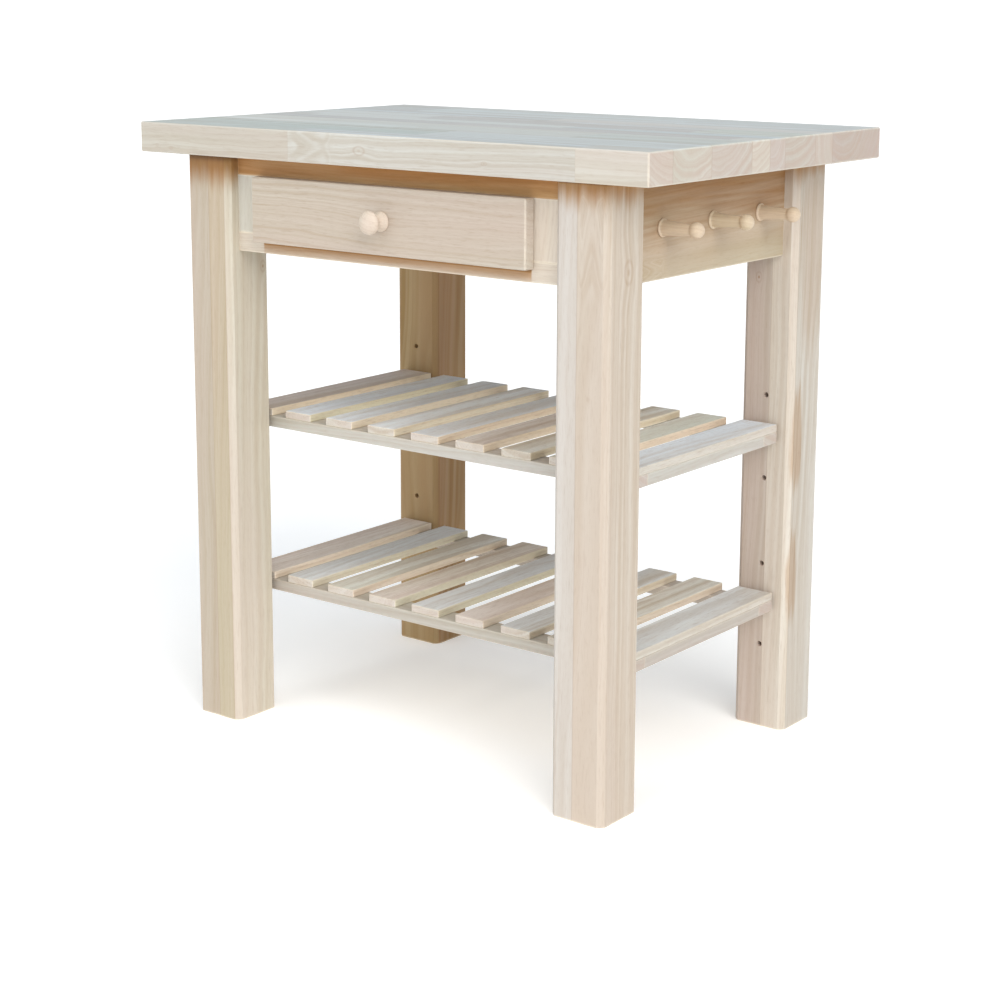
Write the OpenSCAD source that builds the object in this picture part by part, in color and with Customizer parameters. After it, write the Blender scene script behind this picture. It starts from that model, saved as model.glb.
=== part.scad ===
// Butcher block table with one drawer, three side pegs and two slatted shelves.
// Origin on the floor under the middle of the top; +X to the right, +Y to the back, +Z up.
// The front, with the drawer, faces -Y.

/* [Top] */
// Width of the top, along X
top_w = 914.4; // [860:0.1:1100]
// Depth of the top, along Y
top_d = 609.6; // [560:0.1:760]
// Thickness of the laminated top
top_t = 44.5; // [38:0.5:60]
// Height of the work surface above the floor
table_h = 914.4; // [880:0.1:960]
// Chamfer on the edges of the top
top_ease = 2; // [0.5:0.5:4]

/* [Legs] */
// Side of a square leg
leg = 87; // [80:0.5:95]
// Chamfer on the long edges of a leg
leg_chamfer = 8.5; // [3:0.5:12]
// Overhang of the top past the legs at the left and right
overhang_x = 73.2; // [50:0.1:90]
// Overhang of the top past the legs at the front and back
overhang_y = 21; // [10:0.5:30]

/* [Aprons and front frame] */
// Height of the aprons and of the front frame
apron_h = 141.5; // [136:0.5:150]
// Thickness of the aprons and of the front frame
apron_t = 20; // [18:0.5:22]
// Distance of the aprons behind the outer faces of the legs
setback = 21.5; // [15:0.5:23]
// Height of each rail of the front frame
rail_h = 28.5; // [26:0.5:30]
// Width of each stile of the front frame
stile_w = 57; // [52:0.5:57]

/* [Drawer] */
// Width of the drawer face
face_w = 500; // [490:1:520]
// Height of the drawer face
face_h = 95.5; // [92:0.5:100]
// Thickness of the drawer face
face_t = 20; // [16:0.5:20]
// Thickness of the sides, back and inner front of the drawer
box_t = 12; // [11:0.5:13]
// Depth of the drawer box, front to back
box_d = 452; // [400:1:470]
// Diameter of the head of the knob
knob_d = 34; // [28:0.5:36]

/* [Pegs] */
// Distance from peg to peg
peg_pitch = 127; // [90:1:150]
// Diameter of the flared base of a peg
peg_base_d = 25.5; // [22:0.5:30]
// Diameter of the ball on the end of a peg
peg_ball_d = 22; // [18:0.5:26]
// Distance from the apron to the middle of the ball
peg_reach = 54; // [45:1:70]

/* [Shelves] */
// Height of the underside of the upper shelf
upper_z = 448; // [420:1:480]
// Height of the underside of the lower shelf
lower_z = 188; // [150:1:200]
// Number of slats in each shelf
slats = 9; // [7:2:9]
// Width of a slat
slat_w = 52; // [45:0.5:56]
// Width of the two slats at the ends of a shelf
end_slat_w = 60; // [52:0.5:62]
// Thickness of a slat
slat_t = 11.5; // [8:0.5:12]
// Height of the rails under the slats
shelf_rail_h = 17; // [15:0.5:24]
// Width of the rails under the slats
shelf_rail_w = 38; // [32:0.5:56]
// Length of each shelf, along X
shelf_l = 727; // [700:1:740]
// Spacing of the shelf pin holes in the legs
hole_pitch = 63.5; // [50:0.5:64]

/* [Hidden] */
$fn = 48;
wood_pale = [0.88, 0.80, 0.68];
wood_warm = [0.85, 0.74, 0.58];
wood_pink = [0.87, 0.77, 0.67];
wood_slat = [0.86, 0.81, 0.73];
plywood = [0.80, 0.70, 0.54];
steel = [0.62, 0.62, 0.64];

// legs and aprons
leg_h = table_h - top_t;
leg_x = top_w / 2 - overhang_x;
leg_y = top_d / 2 - overhang_y;
leg_in_x = leg_x - leg;
leg_in_y = leg_y - leg;
apron_z = leg_h - apron_h;
side_out = leg_x - setback;
side_in = side_out - apron_t;
front_out = leg_y - setback;
front_in = front_out - apron_t;
board_ease = 1;

// dowels, screws and the play around them
play = 0.05;
dowel_r = 4;
dowel_l = 32;
screw_r = 2;
screw_head_r = 4;
screw_head_t = 2.4;
recess_w = 1;
recess_depth = 1.2;

// front frame
opening_z = apron_z + rail_h;
opening_h = apron_h - 2 * rail_h;
stile_in = leg_in_x - stile_w;
stile_dowels = [-7, 17];

// wooden braces across the corners, each held by two hanger bolts
brace_h = 62;
brace_t = 11.5;
brace_gap = 2.5;
brace_below_top = 1.9;
brace_z = leg_h - brace_h - brace_below_top;
brace_out = leg_in_x + leg_in_y + leg_chamfer - brace_gap * sqrt(2);
brace_in = brace_out - brace_t * sqrt(2);
bolt_r = 4;
bolt_leg_depth = 50;
bolt_tail = 16;
bolt_z = [brace_z + 15, brace_z + 47];
bolt_face = brace_in / sqrt(2);
bolt_seat = (leg_in_x + leg_in_y + leg_chamfer) / sqrt(2);
bolt_point = 8;
nut_af = 13;
nut_h = 6.5;
flange_r = 9;
flange_h = 1.5;
brace_screw_z = [brace_z + 10, brace_z + 52];
brace_screw_inset = 4;
brace_screw_seat = 6.8;
brace_screw_l = 21;

// cleats that hold the top down
cleat = 20;
cleat_l = 240;
cleat_up_y = [-90, 0, 90];
cleat_side_y = [-45, 45];
cleat_screw_l = 34;

// drawer, centred in its opening; the sides hang on tongues on the guides
face_lap = 10.5;
face_z = opening_z - face_lap;
face_gap = 0.5;
face_back = front_out + face_gap;
box_lift = 3.1;
box_headroom = 7.4;
box_h = opening_h - box_lift - box_headroom;
box_z = opening_z + box_lift;
box_side_gap = 3;
box_out = stile_in - box_side_gap;
box_in = box_out - box_t;
box_rear = box_d - face_back;
panel_t = 5;
panel_rise = 8;
panel_z = box_z + panel_rise;
panel_groove = 6;
guide_w = 23.8;
guide_h = 30;
guide_rise = 17.5;
guide_side_gap = 1.2;
guide_z = opening_z + guide_rise;
guide_in = box_out + guide_side_gap;
tongue_w = 6.4;
tongue_h = 11.4;
tongue_z = guide_z + guide_h / 2;
tongue_end = front_in - 6;
side_groove = 6.5;
side_groove_play = 0.6;
guide_fix_in = 12.5;
guide_fix_x = guide_in + guide_fix_in;
guide_screw_l = 40;
face_screw_x = 150;
face_screw_l = 24.5;
knob_z = face_z + face_h / 2;
knob_screw_bite = 14;
knob_screw_l = box_t + face_t + knob_screw_bite;
knob_neck_r = 8.5;
knob_base_r = 14.2;
knob_l = 36;
knob_dome = 10;

// pegs
peg_drop = 1;
peg_z = apron_z + apron_h / 2 - peg_drop;
tenon_r = 5;
tenon_l = 15;

// shelves and the pins that they rest on
shelf_gap = 5;
shelf_y = leg_in_y - shelf_gap;
pin_x = leg_x - leg / 2;
pin_rise = 6;
pin_hole_r = 4;
pin_r = 3.95;
pin_l = 36;
pin_hole_depth = 20;
notch_r = 4.25;
notch_depth = pin_l - pin_hole_depth - shelf_gap + 1.5;
slat_pitch = (shelf_l - end_slat_w) / (slats - 1);
slat_ease = 1;

// Rectangle with its first corner at the origin and its four corners cut at 45 degrees
module cut_rect(w, h, cut) {
    polygon([
        [cut, 0], [w - cut, 0], [w, cut], [w, h - cut],
        [w - cut, h], [cut, h], [0, h - cut], [0, cut]
    ]);
}

// Board with its first corner at the origin and all twelve edges eased
module eased_board(size, ease) {
    intersection() {
        linear_extrude(size.z) cut_rect(size.x, size.y, ease);
        translate([0, size.y, 0])
            rotate([90, 0, 0]) linear_extrude(size.y) cut_rect(size.x, size.z, ease);
        rotate([90, 0, 90]) linear_extrude(size.x) cut_rect(size.y, size.z, ease);
    }
}

// Draws its children in the corner given by the signs of x and y
module in_corner(sx, sy) {
    mirror([sx < 0 ? 1 : 0, 0, 0]) mirror([0, sy < 0 ? 1 : 0, 0]) children();
}

// Repeats its children in the four corners
module in_corners() {
    for (sx = [-1, 1], sy = [-1, 1]) {
        in_corner(sx, sy) children();
    }
}

// Cylinder that starts at the origin and runs along +X
module rod_x(r, l) {
    rotate([0, 90, 0]) cylinder(r = r, h = l);
}

// Cylinder that starts at the origin and runs along +Y
module rod_y(r, l) {
    rotate([-90, 0, 0]) cylinder(r = r, h = l);
}

// Pan head screw with a cross recess: the head seats at z = 0 and the shank runs up
module screw(l) {
    point = 2 * screw_r;
    cylinder(r = screw_r, h = l - point);
    translate([0, 0, l - point]) cylinder(r1 = screw_r, r2 = 0.3, h = point);
    difference() {
        translate([0, 0, -screw_head_t]) cylinder(r = screw_head_r, h = screw_head_t);
        for (turn = [0, 90]) {
            rotate([0, 0, turn])
                translate([-screw_head_r / 2, -recess_w / 2, -screw_head_t - 1])
                    cube([screw_head_r, recess_w, recess_depth + 1]);
        }
    }
}

module screw_x(l) {
    rotate([0, 90, 0]) screw(l);
}

module screw_y(l) {
    rotate([-90, 0, 0]) screw(l);
}

// ---- carcass ----

module top_slab() {
    color(wood_pale)
    difference() {
        translate([-top_w / 2, -top_d / 2, leg_h]) eased_board([top_w, top_d, top_t], top_ease);
        for (sx = [-1, 1], y = cleat_up_y) {
            translate([sx * (side_in - cleat / 2), y, leg_h - 1])
                cylinder(r = screw_r + play, h = cleat_screw_l - cleat + 2);
        }
    }
}

// Line of a hanger bolt, along the diagonal of the corner and out through the leg
module bolt_line(z, from) {
    shift = (leg_in_x - leg_in_y) / 2;
    translate([shift, -shift, z]) rotate([0, 0, 45]) translate([from, 0, 0]) children();
}

module leg_in_corner() {
    difference() {
        translate([leg_in_x, leg_in_y, 0]) linear_extrude(leg_h) cut_rect(leg, leg, leg_chamfer);
        for (z = bolt_z) {
            bolt_line(z, bolt_seat - 1) rod_x(bolt_r + play, bolt_leg_depth + 2);
        }
        for (shelf_z = [lower_z, upper_z], step = [-1, 0, 1]) {
            translate([pin_x, leg_in_y - 1, shelf_z + pin_rise + step * hole_pitch])
                rod_y(pin_hole_r, pin_hole_depth + 1);
        }
    }
}

module leg_front_left() {
    color(wood_pale) in_corner(-1, -1) leg_in_corner();
}

module leg_front_right() {
    color(wood_pale) in_corner(1, -1) leg_in_corner();
}

module leg_back_left() {
    color(wood_warm) in_corner(-1, 1) leg_in_corner();
}

module leg_back_right() {
    color(wood_pale) in_corner(1, 1) leg_in_corner();
}

// Holes that two dowels make where a rail meets each stile
module stile_dowel_holes(z) {
    for (sx = [-1, 1], dx = stile_dowels) {
        translate([sx * (stile_in + stile_w / 2 + dx), -(front_in + apron_t / 2), z - dowel_l / 2 - 0.5])
            cylinder(r = dowel_r + play, h = dowel_l + 1);
    }
}

// Holes that the screws of the braces make in the boards they are fixed to
module brace_screw_holes() {
    in_corners() {
        for (z = brace_screw_z) {
            translate([brace_out - front_in - brace_screw_inset, front_in - 1, z])
                rod_y(screw_r + play, 1 + brace_screw_l - brace_screw_seat + 0.5);
            translate([side_in - 1, brace_out - side_in - brace_screw_inset, z])
                rod_x(screw_r + play, 1 + brace_screw_l - brace_screw_seat + 0.5);
        }
    }
}

module front_rail(z) {
    difference() {
        translate([-leg_in_x, -front_out, z]) eased_board([2 * leg_in_x, apron_t, rail_h], board_ease / 2);
        stile_dowel_holes(opening_z);
        stile_dowel_holes(opening_z + opening_h);
        brace_screw_holes();
    }
}

module front_top_rail() {
    color(wood_pale) front_rail(opening_z + opening_h);
}

module front_bottom_rail() {
    color(wood_pink) front_rail(apron_z);
}

module front_stile(sx) {
    x = sx * (stile_in + stile_w / 2) - stile_w / 2;
    difference() {
        translate([x, -front_out, opening_z]) eased_board([stile_w, apron_t, opening_h], board_ease / 2);
        stile_dowel_holes(opening_z);
        stile_dowel_holes(opening_z + opening_h);
        brace_screw_holes();
        guide_dowel_holes();
    }
}

module front_stile_left() {
    color(wood_slat) front_stile(-1);
}

module front_stile_right() {
    color(wood_pink) front_stile(1);
}

module side_apron() {
    difference() {
        translate([side_in, -leg_in_y, apron_z]) eased_board([apron_t, 2 * leg_in_y, apron_h], board_ease);
        brace_screw_holes();
        for (y = cleat_side_y) {
            translate([side_in - 1, y, leg_h - cleat / 2])
                rod_x(screw_r + play, 2 + cleat_screw_l - cleat);
        }
    }
}

module side_apron_left() {
    color(wood_warm) mirror([1, 0, 0]) side_apron();
}

module side_apron_right() {
    color(wood_warm)
    difference() {
        side_apron();
        for (step = [-1, 0, 1]) {
            translate([side_out - tenon_l - 1, step * peg_pitch, peg_z])
                rod_x(tenon_r + play, tenon_l + 2);
        }
    }
}

module back_apron() {
    color(wood_warm)
    difference() {
        translate([-leg_in_x, front_in, apron_z])
            eased_board([2 * leg_in_x, apron_t, apron_h], board_ease);
        brace_screw_holes();
        for (sx = [-1, 1]) {
            translate([sx * guide_fix_x, front_in - 1, tongue_z]) rod_y(screw_r + play, apron_t + 2);
        }
    }
}

module corner_braces() {
    color(wood_warm)
    in_corners() {
        difference() {
            translate([0, 0, brace_z]) linear_extrude(brace_h)
                polygon([
                    [brace_in - front_in, front_in], [brace_out - front_in, front_in],
                    [side_in, brace_out - side_in], [side_in, brace_in - side_in]
                ]);
            for (z = bolt_z) {
                bolt_line(z, bolt_face - 1) rod_x(bolt_r + 0.5, brace_t + 2);
            }
            for (z = brace_screw_z) {
                translate([brace_out - front_in - brace_screw_inset, front_in, z]) {
                    translate([0, -brace_screw_seat - 1, 0]) rod_y(screw_r + play, brace_screw_seat + 2);
                    translate([0, -brace_screw_seat - 20, 0]) rod_y(screw_head_r + play, 20);
                }
                translate([side_in, brace_out - side_in - brace_screw_inset, z]) {
                    translate([-brace_screw_seat - 1, 0, 0]) rod_x(screw_r + play, brace_screw_seat + 2);
                    translate([-brace_screw_seat - 20, 0, 0]) rod_x(screw_head_r + play, 20);
                }
            }
        }
    }
}

module hanger_bolts() {
    color(steel)
    in_corners() {
        for (z = bolt_z) {
            bolt_line(z, bolt_face - bolt_tail)
                rod_x(bolt_r, bolt_tail + bolt_seat - bolt_face + bolt_leg_depth - bolt_point);
            bolt_line(z, bolt_seat + bolt_leg_depth - bolt_point)
                rotate([0, 90, 0]) cylinder(r1 = bolt_r, r2 = 1, h = bolt_point);
        }
    }
}

module hanger_nuts() {
    color(steel)
    in_corners() {
        for (z = bolt_z) {
            bolt_line(z, bolt_face - play)
                rotate([0, -90, 0])
                    difference() {
                        union() {
                            cylinder(r = flange_r, h = flange_h);
                            cylinder(d = nut_af / cos(30), h = flange_h + nut_h, $fn = 6);
                        }
                        translate([0, 0, -1]) cylinder(r = bolt_r + play, h = flange_h + nut_h + 2);
                    }
        }
    }
}

module brace_screws() {
    color(steel)
    in_corners() {
        for (z = brace_screw_z) {
            translate([brace_out - front_in - brace_screw_inset, front_in - brace_screw_seat, z])
                screw_y(brace_screw_l);
            translate([side_in - brace_screw_seat, brace_out - side_in - brace_screw_inset, z])
                screw_x(brace_screw_l);
        }
    }
}

module top_cleats() {
    color(wood_warm)
    for (sx = [-1, 1]) {
        in_corner(sx, 1)
            difference() {
                translate([side_in - cleat, -cleat_l / 2, leg_h - cleat]) cube([cleat, cleat_l, cleat]);
                for (y = cleat_up_y) {
                    translate([side_in - cleat / 2, y, leg_h - cleat - 1])
                        cylinder(r = screw_r + play, h = cleat + 2);
                }
                for (y = cleat_side_y) {
                    translate([side_in - cleat - 1, y, leg_h - cleat / 2])
                        rod_x(screw_r + play, cleat + 2);
                }
            }
    }
}

// Screws through the cleats, and through the back apron into the drawer guides
module carcass_screws() {
    color(steel) {
        for (sx = [-1, 1]) {
            in_corner(sx, 1) {
                for (y = cleat_up_y) {
                    translate([side_in - cleat / 2, y, leg_h - cleat]) screw(cleat_screw_l);
                }
                for (y = cleat_side_y) {
                    translate([side_in - cleat, y, leg_h - cleat / 2]) screw_x(cleat_screw_l);
                }
                translate([guide_fix_x, front_out, tongue_z]) rotate([0, 0, 180]) screw_y(guide_screw_l);
            }
        }
    }
}

module frame_dowels() {
    color(wood_pale) {
        for (sx = [-1, 1], dx = stile_dowels, z = [opening_z, opening_z + opening_h]) {
            translate([sx * (stile_in + stile_w / 2 + dx), -(front_in + apron_t / 2), z - dowel_l / 2])
                cylinder(r = dowel_r, h = dowel_l);
        }
        for (sx = [-1, 1]) {
            translate([sx * guide_fix_x, -front_in - dowel_l / 2, tongue_z]) rod_y(dowel_r, dowel_l);
        }
    }
}

// ---- drawer guides ----

module guide_dowel_holes() {
    for (sx = [-1, 1]) {
        translate([sx * guide_fix_x, -front_in - dowel_l / 2 - 0.5, tongue_z])
            rod_y(dowel_r + play, dowel_l + 1);
    }
}

module drawer_guide(sx) {
    in_corner(sx, 1)
        difference() {
            union() {
                translate([guide_in, -front_in, guide_z]) cube([guide_w, 2 * front_in, guide_h]);
                translate([guide_in - tongue_w, -tongue_end, tongue_z - tongue_h / 2])
                    cube([tongue_w + 1, 2 * tongue_end, tongue_h]);
            }
            guide_dowel_holes();
            translate([guide_fix_x, front_out - guide_screw_l - 0.5, tongue_z])
                rod_y(screw_r + play, guide_screw_l);
        }
}

module drawer_guide_left() {
    color(wood_warm) drawer_guide(-1);
}

module drawer_guide_right() {
    color(wood_warm) drawer_guide(1);
}

// ---- pegs and shelf pins ----

// Turned peg: tenon, flared base, tapering shaft and ball; it points along +X
module peg(y) {
    base_r = peg_base_d / 2;
    ball_r = peg_ball_d / 2;
    neck_r = 0.74 * ball_r;
    neck_angle = 180 - asin(neck_r / ball_r);
    neck_at = peg_reach + ball_r * cos(neck_angle);
    steps = 14;
    translate([side_out, y, peg_z])
        rotate([0, 90, 0]) {
            translate([0, 0, -tenon_l]) cylinder(r = tenon_r, h = tenon_l + 1);
            rotate_extrude()
                polygon(concat(
                    [[0, 0], [base_r - 0.8, 0], [base_r, 0.9], [base_r, 2.4], [base_r - 0.8, 3.3]],
                    [[base_r - 1.9, 4.2], [base_r - 2.6, 12], [neck_r + 0.5, neck_at - 8]],
                    [for (i = [0 : steps])
                        let (a = neck_angle * (1 - i / steps))
                        [ball_r * sin(a), peg_reach + ball_r * cos(a)]]
                ));
        }
}

module peg_front() {
    color(wood_pale) peg(-peg_pitch);
}

module peg_middle() {
    color(wood_pale) peg(0);
}

module peg_rear() {
    color(wood_pale) peg(peg_pitch);
}

module shelf_pins() {
    color(steel)
    in_corners() {
        for (shelf_z = [lower_z, upper_z]) {
            translate([pin_x, leg_in_y + pin_hole_depth - pin_l, shelf_z + pin_rise]) rod_y(pin_r, pin_l);
        }
    }
}

// ---- drawer ----

module drawer_face() {
    color(wood_pink)
    difference() {
        translate([-face_w / 2, -face_back - face_t, face_z]) eased_board([face_w, face_t, face_h], top_ease);
        translate([0, -face_back - face_t - 1, knob_z]) rod_y(screw_r + play, face_t + 2);
        for (sx = [-1, 1]) {
            translate([sx * face_screw_x, -face_back - face_screw_l + box_t - 0.5, knob_z])
                rod_y(screw_r + play, face_screw_l - box_t + 1.5);
        }
    }
}

module drawer_inner_front() {
    color(wood_pale)
    difference() {
        translate([-box_in, -face_back, box_z]) cube([2 * box_in, box_t, box_h]);
        translate([-box_in - 1, -face_back + box_t - panel_groove, panel_z - 0.1])
            cube([2 * box_in + 2, panel_groove + 1, panel_t + 0.2]);
        for (x = [-face_screw_x, 0, face_screw_x]) {
            translate([x, -face_back - 1, knob_z]) rod_y(screw_r + play, box_t + 2);
        }
    }
}

module drawer_side() {
    difference() {
        translate([box_in, -face_back, box_z]) cube([box_t, box_d, box_h]);
        translate([box_in - 1, -face_back + box_t - panel_groove, panel_z - 0.1])
            cube([panel_groove + 1, box_d, panel_t + 0.2]);
        translate([box_out - side_groove, -tongue_end - 4, tongue_z - tongue_h / 2 - side_groove_play])
            cube([side_groove + 1, 2 * top_d, tongue_h + 2 * side_groove_play]);
    }
}

module drawer_side_left() {
    color(wood_pale) mirror([1, 0, 0]) drawer_side();
}

module drawer_side_right() {
    color(wood_pale) drawer_side();
}

module drawer_back() {
    back_z = panel_z + panel_t + 0.1;
    color(wood_pale)
    translate([-box_in, box_rear - box_t, back_z]) cube([2 * box_in, box_t, box_z + box_h - back_z]);
}

module drawer_bottom() {
    edge = panel_groove - 0.3;
    color(plywood)
    translate([-box_in - edge, -face_back + box_t - edge, panel_z])
        cube([2 * (box_in + edge), box_d - box_t + edge, panel_t]);
}

// Turned knob: flared foot, narrow neck and mushroom head; it points along -Y
module drawer_knob() {
    head_r = knob_d / 2;
    color(wood_pink)
    translate([0, -face_back - face_t, knob_z])
        rotate([90, 0, 0])
            difference() {
                rotate_extrude()
                    polygon(concat(
                        [[0, 0], [knob_base_r - 1, 0], [knob_base_r, 1.2], [knob_base_r, 2.8]],
                        [[knob_base_r - 1.2, 5], [knob_neck_r + 1.6, 8], [knob_neck_r + 0.3, 11]],
                        [[knob_neck_r, 13.5], [knob_neck_r + 0.6, 16], [knob_neck_r + 3, 19]],
                        [[head_r - 3, 22], [head_r - 0.9, 24.2], [head_r, knob_l - knob_dome]],
                        [for (a = [80 : -10 : 10]) [head_r * sin(a), knob_l - knob_dome * (1 - cos(a))]],
                        [[0, knob_l]]
                    ));
                translate([0, 0, -1]) cylinder(r = screw_r + play, h = knob_screw_l - box_t - face_t + 2);
            }
}

module knob_screw() {
    color(steel)
    translate([0, -face_back + box_t, knob_z]) rotate([0, 0, 180]) screw_y(knob_screw_l);
}

module drawer_face_screws() {
    color(steel)
    for (sx = [-1, 1]) {
        translate([sx * face_screw_x, -face_back + box_t, knob_z])
            rotate([0, 0, 180]) screw_y(face_screw_l);
    }
}

// ---- shelves ----

// Long rail at the back of a shelf, notched from below to drop over the pins
module shelf_rail() {
    difference() {
        translate([-shelf_l / 2, shelf_y - shelf_rail_w, 0])
            eased_board([shelf_l, shelf_rail_w, shelf_rail_h], board_ease);
        for (sx = [-1, 1]) {
            translate([sx * pin_x, shelf_y - notch_depth, pin_rise]) rod_y(notch_r, notch_depth + 1);
            translate([sx * pin_x - notch_r, shelf_y - notch_depth, -1])
                cube([2 * notch_r, notch_depth + 1, pin_rise + 1]);
        }
    }
}

module shelf_end_rail() {
    translate([shelf_l / 2 - shelf_rail_w, -shelf_y + shelf_rail_w, 0])
        eased_board([shelf_rail_w, 2 * (shelf_y - shelf_rail_w), shelf_rail_h], board_ease);
}

// Slat number i of a shelf, counted from the left; the first and last are wider
module shelf_slat(i) {
    w = (i == 1 || i == slats) ? end_slat_w : slat_w;
    x = -shelf_l / 2 + end_slat_w / 2 + (i - 1) * slat_pitch;
    color(wood_slat)
    translate([x - w / 2, -shelf_y, shelf_rail_h]) eased_board([w, 2 * shelf_y, slat_t], slat_ease);
}

module upper_front_rail() {
    color(wood_slat) translate([0, 0, upper_z]) mirror([0, 1, 0]) shelf_rail();
}

module upper_back_rail() {
    color(wood_slat) translate([0, 0, upper_z]) shelf_rail();
}

module upper_end_rail_left() {
    color(wood_slat) translate([0, 0, upper_z]) mirror([1, 0, 0]) shelf_end_rail();
}

module upper_end_rail_right() {
    color(wood_slat) translate([0, 0, upper_z]) shelf_end_rail();
}

module lower_front_rail() {
    color(wood_slat) translate([0, 0, lower_z]) mirror([0, 1, 0]) shelf_rail();
}

module lower_back_rail() {
    color(wood_slat) translate([0, 0, lower_z]) shelf_rail();
}

module lower_end_rail_left() {
    color(wood_slat) translate([0, 0, lower_z]) mirror([1, 0, 0]) shelf_end_rail();
}

module lower_end_rail_right() {
    color(wood_slat) translate([0, 0, lower_z]) shelf_end_rail();
}

top_slab();
leg_front_left();
leg_front_right();
leg_back_left();
leg_back_right();
front_top_rail();
front_bottom_rail();
front_stile_left();
front_stile_right();
side_apron_left();
side_apron_right();
back_apron();
corner_braces();
hanger_bolts();
hanger_nuts();
brace_screws();
drawer_guide_left();
drawer_guide_right();
top_cleats();
carcass_screws();
frame_dowels();
peg_front();
peg_middle();
peg_rear();
shelf_pins();
drawer_face();
drawer_inner_front();
drawer_side_left();
drawer_side_right();
drawer_back();
drawer_bottom();
drawer_knob();
knob_screw();
drawer_face_screws();
upper_front_rail();
upper_back_rail();
upper_end_rail_left();
upper_end_rail_right();
lower_front_rail();
lower_back_rail();
lower_end_rail_left();
lower_end_rail_right();
for (i = [1 : slats]) {
    translate([0, 0, upper_z]) shelf_slat(i);
    translate([0, 0, lower_z]) shelf_slat(i);
}
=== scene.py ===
"""Looks of the butcher block table: raw, sanded hardwood in a pale studio.

Metres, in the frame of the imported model: the front faces -Y and the floor is at z = 0.
Every board keeps its CAD mesh and gets soft edges and a solid-wood material of its own;
the knob and the three pegs are turned again with smoother profiles.
"""

import math
import random

import bmesh
import bpy
from mathutils import Matrix, Vector


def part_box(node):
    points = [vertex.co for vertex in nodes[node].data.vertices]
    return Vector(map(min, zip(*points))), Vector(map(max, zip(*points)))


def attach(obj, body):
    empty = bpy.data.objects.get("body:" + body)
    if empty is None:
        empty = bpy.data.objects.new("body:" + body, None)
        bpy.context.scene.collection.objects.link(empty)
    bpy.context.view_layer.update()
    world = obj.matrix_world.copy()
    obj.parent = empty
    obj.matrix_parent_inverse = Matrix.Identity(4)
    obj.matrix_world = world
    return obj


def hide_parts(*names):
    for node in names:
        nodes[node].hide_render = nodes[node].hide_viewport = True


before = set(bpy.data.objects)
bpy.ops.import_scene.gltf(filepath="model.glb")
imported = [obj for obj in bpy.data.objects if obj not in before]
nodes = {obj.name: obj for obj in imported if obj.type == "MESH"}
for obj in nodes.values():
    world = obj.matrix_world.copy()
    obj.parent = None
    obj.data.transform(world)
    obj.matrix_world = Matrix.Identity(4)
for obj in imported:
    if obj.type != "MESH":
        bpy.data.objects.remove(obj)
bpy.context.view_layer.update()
random.seed(36)

MM = 0.001


def srgb(red, green, blue):
    """A display colour, 0 to 255 a channel, as the linear colour that a shader takes."""
    linear = []
    for channel in (red, green, blue):
        c = channel / 255
        linear.append(c / 12.92 if c <= 0.04045 else ((c + 0.055) / 1.055) ** 2.4)
    return (*linear, 1.0)


# ---- what the timber is like: metres, and shares from 0 to 1 ----

# noise: features a metre, twice across and once along the grain
BROAD_WAVES = (5, 5, 1.3)
RIPPLES = (34, 34, 7)
LINE_PATCHES = (16, 16, 3)
LONG_STREAKS = (60, 60, 2.2)
TONE_DRIFTS = (11, 11, 1.1)
FINE_PORES = (900, 900, 75)
COARSE_PORES = (330, 330, 30)

MIDDLE_TONE = 0.42
RING_LINE = srgb(168, 134, 104)
PORE = srgb(150, 120, 92)
PINK_CAST = (0.98, 0.90, 0.86, 1.0)
GREEN_CAST = (0.91, 0.93, 0.86, 1.0)
PALE_CAST = srgb(236, 228, 214)
END_GRAIN = srgb(190, 166, 152)
KNOT_WOOD = srgb(160, 124, 94)
GLUE_WOOD = srgb(160, 130, 104)
RUBBED_WOOD = srgb(246, 236, 216)
# the colour of stains and of painted shade, then of a painted contact shadow where the shade is darkest
STAIN_AND_PAINTED_SHADE = (0.66, 0.40, 0.18, 1.0)
PAINTED_CONTACT_SHADOW = (0.30, 0.24, 0.20, 1.0)

# glue between boards side by side and end to end: where the line fades, and its strength
GLUE_LINE, GLUE_SHARE = (0.0003, 0.0012), 0.7
END_JOINT, END_JOINT_SHARE = (0.0002, 0.0009), 0.25

# in radii of a knot: how far it pushes the rings aside and how much, its dark ring, its core
KNOT_SPREAD, KNOT_PUSH = 3.5, 0.8
KNOT_RING, KNOT_RING_WIDTH, KNOT_RING_SHARE = 0.85, 0.3, 0.5
KNOT_CORE = (0.1, 0.4)
# how much a distance along the grain counts, so that a knot is longer that way
KNOT_ALONG = 0.62
# how deep below their face knots and arches reach: where they begin and end to fade
KNOT_RUN = (0.045, 0.055)
ARCH_RUN = (0.008, 0.020)
# arches: the slope of their flanks, how blunt their tips are, and where they fade
ARCH_FLANK, ARCH_TIP = 1.7, 0.10
ARCH_END, ARCH_SIDE = (0.45, 1.0), (0.6, 1.1)

WORN_WIDTH = 0.003
# how much of a face's normal lies along an axis, where it begins and ends to count
END_FACING = (0.6, 0.85)
UP_FACING = (0.6, 0.9)
SIDE_FACING = (0.5, 0.7)

# the painted shade under the top: features of its ragged edge a metre, and how ragged it is
SHADE_ACROSS, SHADE_ALONG = 90.0, 5.0
SHADE_RAGGED = 0.8
SHADE_END = 0.003
PAINTED_CONTACT_SHADOW_SHARE = 0.8
# the same for stains on upright boards, and where they fade, in shares of their reach
STAIN_GRAIN = (170.0, 170.0, 12.0)
STAIN_RAGGED = 0.9
STAIN_EDGE = (0.65, 1.1)

# ---- node trees ----


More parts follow.
